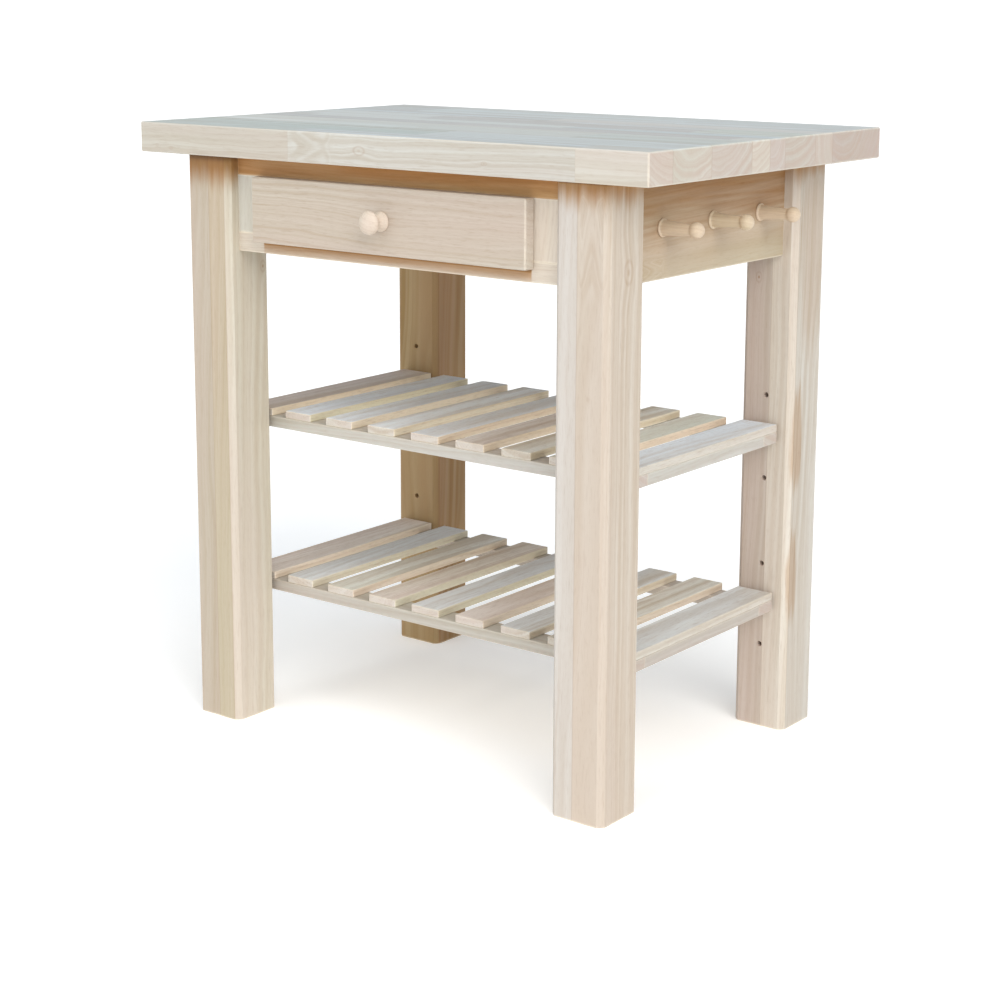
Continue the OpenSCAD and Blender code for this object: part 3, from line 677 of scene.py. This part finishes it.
# painted shade: a darkened tone and painted shade under the top
board("front_top_rail", "X", TOP_RAIL_PAINTED_SHADE_TONE, shade=TOP_RAIL_SHADE)
board("front_bottom_rail", "X", RAIL_PALE, shade=PAINTED_SHADE_UNDER_DRAWER)
board("back_apron", "X", APRON, shade=PAINTED_SHADE_UNDER_TOP)
board("front_stile_left", "Z", STILE_PALE, streaks=0.4)
board("front_stile_right", "Z", STILE_PINK, streaks=0.6)
board("side_apron_left", "Y", APRON, heart=(0.05, -0.05), lean=(0.0, 0.06), shade=APRON_SHADE)
board("side_apron_right", "Y", APRON, heart=(0.05, -0.05), lean=(0.0, 0.06), shade=APRON_SHADE,
      figure=0.65, ring=0.008, arches=(((0.3625, -0.150, 0.742), 0.04, 0.018, 2, 3.0),))
for name in ("drawer_guide_left", "drawer_guide_right", "top_cleats", "drawer_side_left",
             "drawer_side_right"):
    board(name, "Y", INNER, 0.3 * MM)
for name in ("drawer_inner_front", "drawer_back"):
    board(name, "X", INNER, 0.3 * MM)
board("drawer_bottom", "X", PLYWOOD, 0.1 * MM, ring=0.03, waver=0.16, plies=0.001, end_grain=0.0)
board("frame_dowels", "Z", INNER, 0.2 * MM)
board("corner_braces", "X", APRON, 0.4 * MM, brace=True)
board("drawer_face", "X", DRAWER, 0.8 * MM, figure=0.6, streaks=0.5, ring=0.006, ripple=0.012,
      waver=0.09, pores=0.32, ends=DRAWER_END, end_grain=0.15)
SLATS = 9
for shelf in ("upper", "lower"):
    for side in ("front", "back"):
        board(f"{shelf}_{side}_rail", "X", SHELF_RAILS[shelf], rub=0.35)
    for side in ("left", "right"):
        board(f"{shelf}_end_rail_{side}", "Y", SHELF_RAILS[shelf], rub=0.35)
    for number in range(1, SLATS + 1):
        sides = SLAT_ENDS if number == SLATS else random.choice(SLAT_SIDES[shelf])
        top = SLAT_TOPS_AND_PAINTED_SHEEN[shelf][SLAT_ORDER[shelf][number - 1]]
        board(f"{shelf}_slat_{number}", "Y", sides, 0.4 * MM,
              heart=(0.0, random.uniform(0.02, 0.09)), crown=top,
              figure=0.9, streaks=1.2, pores=0.4, ends=SLAT_ENDS, end_grain=0.2, rub=0.35)

ZINC = steel("zinc_steel")
for name in ("hanger_bolts", "hanger_nuts", "brace_screws", "carcass_screws", "knob_screw",
             "drawer_face_screws", "shelf_pins"):
    put(name, ZINC)

# ---- turned pieces ----

TURNS = 72
BETWEEN_POINTS = 4


def flowing(points):
    """More points on a smooth curve through the given (along, radius) points."""
    padded = [points[0], *points, points[-1]]
    curve = []
    for p0, p1, p2, p3 in zip(padded, padded[1:], padded[2:], padded[3:]):
        for i in range(BETWEEN_POINTS):
            t = i / BETWEEN_POINTS
            curve.append(tuple(
                0.5 * (2 * b + (c - a) * t + (2 * a - 5 * b + 4 * c - d) * t * t
                       + (3 * b - a - 3 * c + d) * t ** 3)
                for a, b, c, d in zip(p0, p1, p2, p3)))
    return curve + [points[-1]]


def turned(name, node, body, profile, origin, along, grain, base):
    """A lathe-turned piece that stands for a CAD node. The profile holds (along, radius)
    points in metres, from origin."""
    axis = Vector(along)
    side = Vector((0, 0, 1))
    other = axis.cross(side)
    mesh = bmesh.new()
    rows = []
    for distance, radius in profile:
        row = []
        for i in range(TURNS):
            turn = math.tau * i / TURNS
            reach = side * math.cos(turn) + other * math.sin(turn)
            row.append(mesh.verts.new(Vector(origin) + axis * distance + reach * radius))
        rows.append(row)
    for first, second in zip(rows, rows[1:]):
        for i in range(TURNS):
            j = (i + 1) % TURNS
            mesh.faces.new((first[i], first[j], second[j], second[i]))
    mesh.faces.new(rows[-1])
    mesh.faces.new(list(reversed(rows[0])))
    for face in mesh.faces:
        face.smooth = True
    bmesh.ops.recalc_face_normals(mesh, faces=mesh.faces)
    data = bpy.data.meshes.new(name)
    mesh.to_mesh(data)
    mesh.free()
    piece = bpy.data.objects.new(name, data)
    bpy.context.scene.collection.objects.link(piece)
    low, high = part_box(node)
    data.materials.append(wood(name + "_wood", low, high, grain, base, ring=0.004, figure=0.6,
                               streaks=0.7, waver=0.01, end_grain=0.25, spread=0.02))
    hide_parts(node)
    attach(piece, body)
    return piece


def arc(centre, radius, start, stop, steps, squash=1.0):
    """(along, radius) points round a ball; 0 degrees is its tip."""
    points = []
    for i in range(steps + 1):
        turn = math.radians(start + (stop - start) * i / steps)
        points.append((centre + radius * squash * math.cos(turn), radius * math.sin(turn)))
    return points


BALL_STEPS = 26

PEG_FOOT, PEG_BALL, PEG_REACH, PEG_NECK = 12.75 * MM, 11 * MM, 54 * MM, 8.1 * MM
peg_profile = flowing([
    (-1 * MM, PEG_FOOT - 0.9 * MM), (0.2 * MM, PEG_FOOT - 0.7 * MM), (0.9 * MM, PEG_FOOT - 0.1 * MM),
    (1.7 * MM, PEG_FOOT), (2.5 * MM, PEG_FOOT - 0.3 * MM), (3.3 * MM, PEG_FOOT - 1.3 * MM),
    (4.6 * MM, PEG_FOOT - 2.0 * MM), (9 * MM, PEG_FOOT - 2.4 * MM), (22 * MM, PEG_FOOT - 3.4 * MM),
    (38 * MM, PEG_NECK + 0.2 * MM), (44.5 * MM, PEG_NECK), (46.3 * MM, PEG_NECK + 0.1 * MM),
]) + arc(PEG_REACH, PEG_BALL, 132, 2, BALL_STEPS)
for name in ("peg_front", "peg_middle", "peg_rear"):
    low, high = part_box(name)
    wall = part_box("side_apron_right")[1].x
    centre = (wall, (low.y + high.y) / 2, (low.z + high.z) / 2)
    turned(name + "_turned", name, "table", peg_profile, centre, (1, 0, 0), "X", PEG)

KNOB_FOOT, KNOB_NECK, KNOB_HEAD = 14.2 * MM, 8.5 * MM, 17 * MM
KNOB_CROWN, KNOB_LENGTH = 11.2 * MM, 36 * MM
low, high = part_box("drawer_knob")
knob_profile = flowing([
    (0.0, KNOB_FOOT - 0.9 * MM), (0.6 * MM, KNOB_FOOT - 0.2 * MM), (1.8 * MM, KNOB_FOOT),
    (3.0 * MM, KNOB_FOOT - 0.3 * MM), (5 * MM, KNOB_FOOT - 1.8 * MM), (8 * MM, KNOB_NECK + 1.6 * MM),
    (12 * MM, KNOB_NECK), (16 * MM, KNOB_NECK + 0.8 * MM), (19.5 * MM, KNOB_NECK + 3.4 * MM),
    (22.5 * MM, KNOB_HEAD - 2.2 * MM),
]) + arc(KNOB_LENGTH - KNOB_CROWN, KNOB_HEAD, 88, 2, BALL_STEPS, KNOB_CROWN / KNOB_HEAD)
centre = ((low.x + high.x) / 2, high.y, (low.z + high.z) / 2)
turned("drawer_knob_turned", "drawer_knob", "drawer", knob_profile, centre, (0, -1, 0), "Y", TURNED)

# ---- studio ----

FLOOR_REACH = 400.0
FLOOR_GLOW = 0.25
WORLD_LOW = (1.0, 1.03, 1.06, 1.0)
WORLD_HIGH = (0.21, 0.25, 0.30, 1.0)
WARM_LIGHT = (1.0, 0.99, 0.97)
COOL_LIGHT = (0.95, 0.98, 1.0)


def sun(name, azimuth, elevation, strength, spread, colour):
    """A far, broad lamp that shines from that azimuth (0 is +X, -90 is the front) and
    elevation, with a spread in degrees."""
    data = bpy.data.lights.new(name, "SUN")
    data.energy = strength
    data.angle = math.radians(spread)
    data.color = colour
    lamp = bpy.data.objects.new(name, data)
    bpy.context.scene.collection.objects.link(lamp)
    turn, rise = math.radians(azimuth), math.radians(elevation)
    towards = Vector((math.cos(turn) * math.cos(rise), math.sin(turn) * math.cos(rise), math.sin(rise)))
    lamp.rotation_euler = towards.to_track_quat("Z", "Y").to_euler()
    lamp.location = towards * 4


def studio():
    """A glowing paper floor, a sky that is bright near the horizon, and three broad lamps."""
    mesh = bpy.data.meshes.new("floor")
    corners = [(x * FLOOR_REACH, y * FLOOR_REACH, 0) for x, y in ((-1, -1), (1, -1), (1, 1), (-1, 1))]
    mesh.from_pydata(corners, [], [(0, 1, 2, 3)])
    floor = bpy.data.objects.new("floor", mesh)
    bpy.context.scene.collection.objects.link(floor)
    material = bpy.data.materials.new("floor_paper")
    material.use_nodes = True
    material.node_tree.nodes.clear()
    g = Graph(material.node_tree)
    grain = g.noise(g.node("TexCoord").outputs["Object"], (3, 3, 3), 3)
    colour = g.mix(grain, srgb(248, 246, 243), srgb(251, 249, 246))
    shader = g.node("BsdfPrincipled", {
        "Base Color": colour, "Roughness": 0.9, "Specular IOR Level": 0.1,
        "Emission Color": (1.0, 1.0, 1.0, 1.0), "Emission Strength": FLOOR_GLOW,
    })
    g.node("OutputMaterial", {"Surface": shader.outputs["BSDF"]})
    mesh.materials.append(material)

    world = bpy.data.worlds.new("studio_air")
    bpy.context.scene.world = world
    world.use_nodes = True
    world.node_tree.nodes.clear()
    g = Graph(world.node_tree)
    up = g.split(g.node("TexCoord").outputs["Generated"])[2]
    colour = g.mix(g.smooth(up, 0.12, 0.34), WORLD_LOW, WORLD_HIGH)
    back = g.node("Background", {"Color": colour, "Strength": 1.0})
    g.node("OutputWorld", {"Surface": back.outputs[0]})

    sun("key_left", -105, 32, 0.62, 45, WARM_LIGHT)
    sun("key_right", -32, 34, 1.72, 40, WARM_LIGHT)
    sun("overhead", -60, 78, 1.05, 60, COOL_LIGHT)


studio()

# ---- camera ----

CAMERA_PLACE = Vector((1.87675, -2.44263, 1.11352))
CAMERA_YAW, CAMERA_PITCH, CAMERA_ROLL = 37.6743, -10.7485, 0.1914
camera_data = bpy.data.cameras.new("camera")
camera_data.lens = 74.455
camera_data.sensor_width = 36.0
camera_data.shift_y = -0.12
camera = bpy.data.objects.new("camera", camera_data)
bpy.context.scene.collection.objects.link(camera)
camera.matrix_world = (
    Matrix.Translation(CAMERA_PLACE)
    @ Matrix.Rotation(math.radians(CAMERA_YAW), 4, "Z")
    @ Matrix.Rotation(math.radians(90 + CAMERA_PITCH), 4, "X")
    @ Matrix.Rotation(math.radians(CAMERA_ROLL), 4, "Z")
)
bpy.context.scene.camera = camera
bpy.context.scene.view_settings.view_transform = "Standard"
